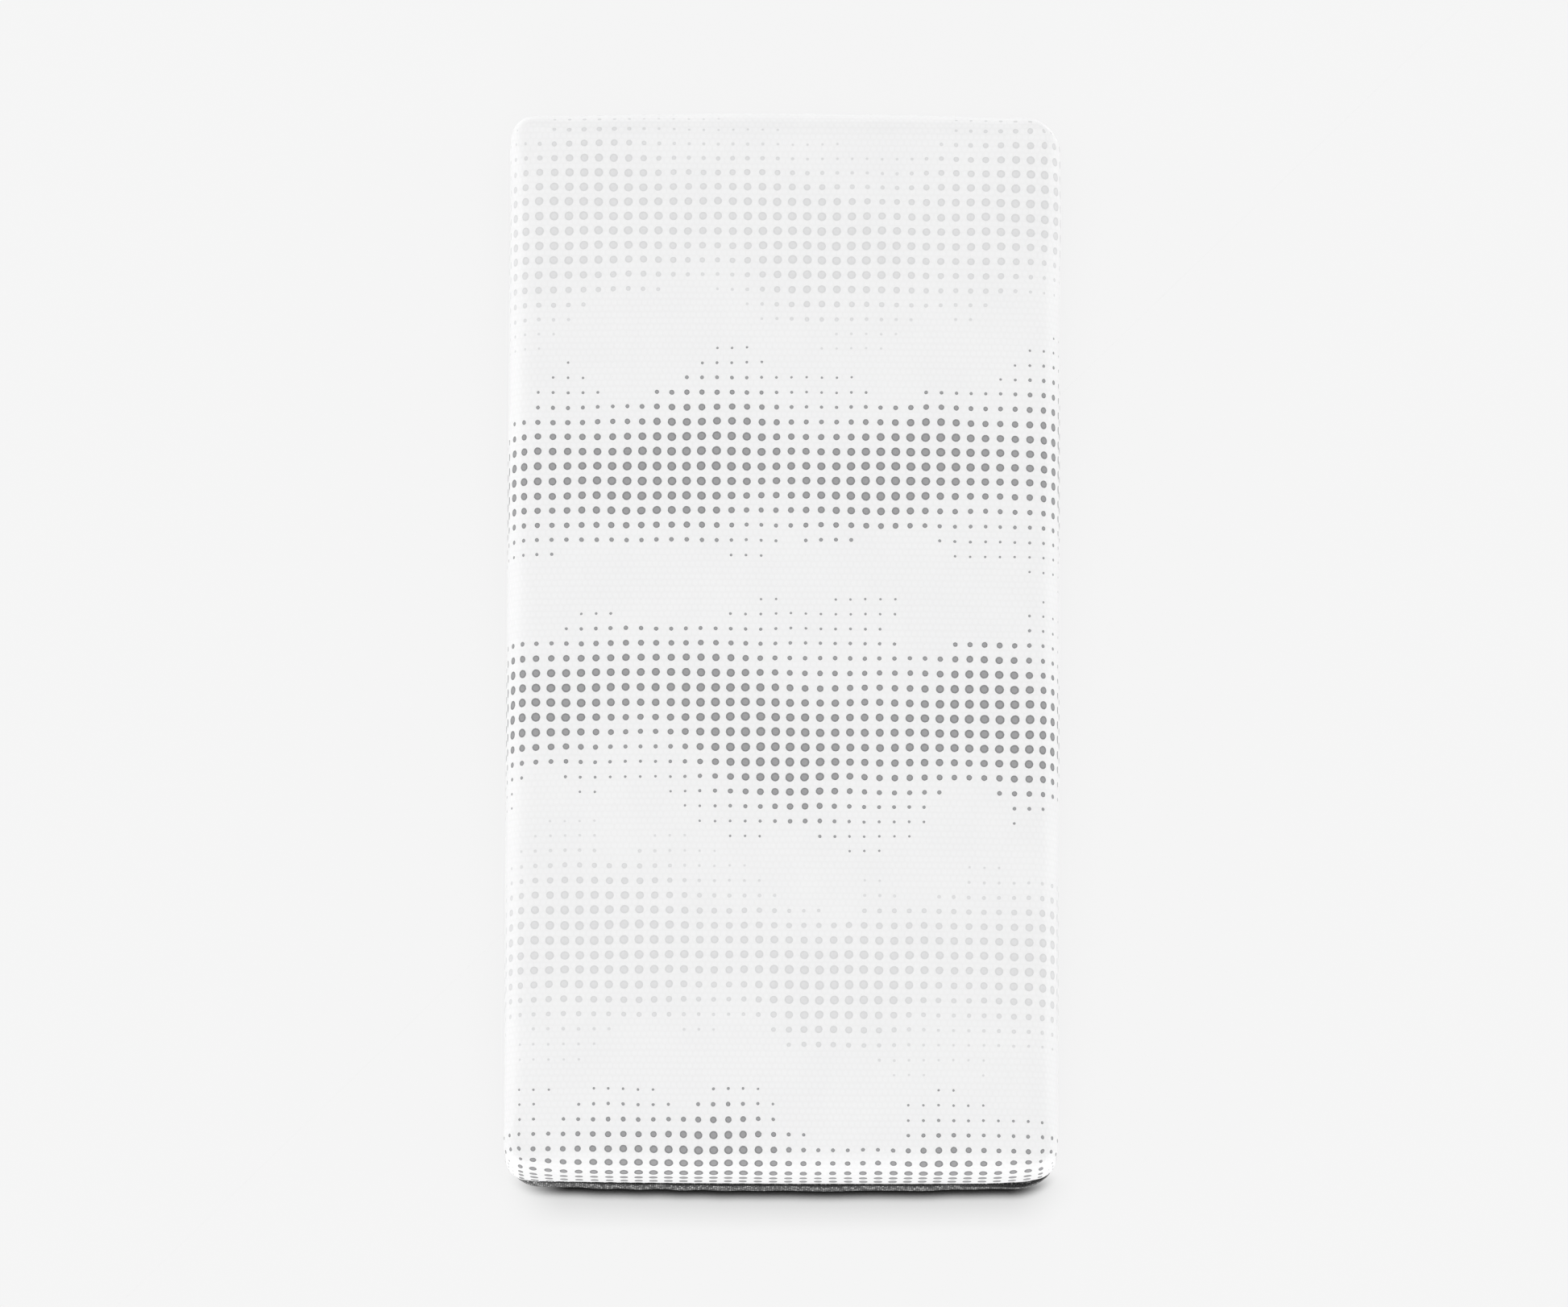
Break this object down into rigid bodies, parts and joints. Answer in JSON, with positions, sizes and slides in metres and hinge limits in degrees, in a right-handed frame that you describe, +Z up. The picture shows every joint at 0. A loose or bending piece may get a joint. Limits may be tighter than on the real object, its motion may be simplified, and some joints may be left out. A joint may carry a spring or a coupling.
{
  "type": "memory foam mattress",
  "caption": "Cot-bed memory foam mattress: foam core in a padded knit cover with a grey dot print that zips onto a charcoal mesh base.",
  "frame": {"origin": "centre of the underside, on the surface that the mattress lies on", "axes": "+Z up through the sleeping surface, +Y along the length toward the head end, -Y toward the foot end nearest the viewer, +X to the viewer's right"},
  "size_m": [0.7072, 1.392, 0.152],
  "materials": {
    "printed_knit": "matte",
    "lining_film": "satin",
    "charcoal_mesh": "matte",
    "base_cloth": "matte",
    "memory_foam": "matte",
    "support_foam": "matte",
    "zip_tape": "matte",
    "zip_chain": "satin",
    "zip_metal": "satin"
  },
  "bodies": {
    "base": {"base_border": "charcoal_mesh", "base_panel": "base_cloth", "support_foam": "support_foam", "memory_foam": "memory_foam", "zipper_tape_lower": "zip_tape", "zipper_chain_lower": "zip_chain", "zipper_end_stop": "zip_metal", "zipper_start_stop": "zip_metal"},
    "cover": {"top_cover": "printed_knit", "cover_lining": "lining_film", "zipper_tape_upper": "zip_tape", "zipper_chain_upper": "zip_chain"},
    "slider": {"zipper_slider": "zip_metal"},
    "pull": {"zipper_pull": "zip_metal"}
  },
  "joints": [
    {"name": "cover_lift", "type": "slide", "parent": "base", "child": "cover", "axis": [0, 0, 1], "range_m": [0, 0.2]},
    {"name": "zip_run", "type": "slide", "parent": "base", "child": "slider", "axis": [0, -1, 0], "range_m": [0, 1.15]},
    {"name": "pull_swing", "type": "hinge", "parent": "slider", "child": "pull", "pos_m": [0.35231, 0.5555, 0.048], "axis": [0, 0, 1], "range_deg": [0, 175]}
  ]
}
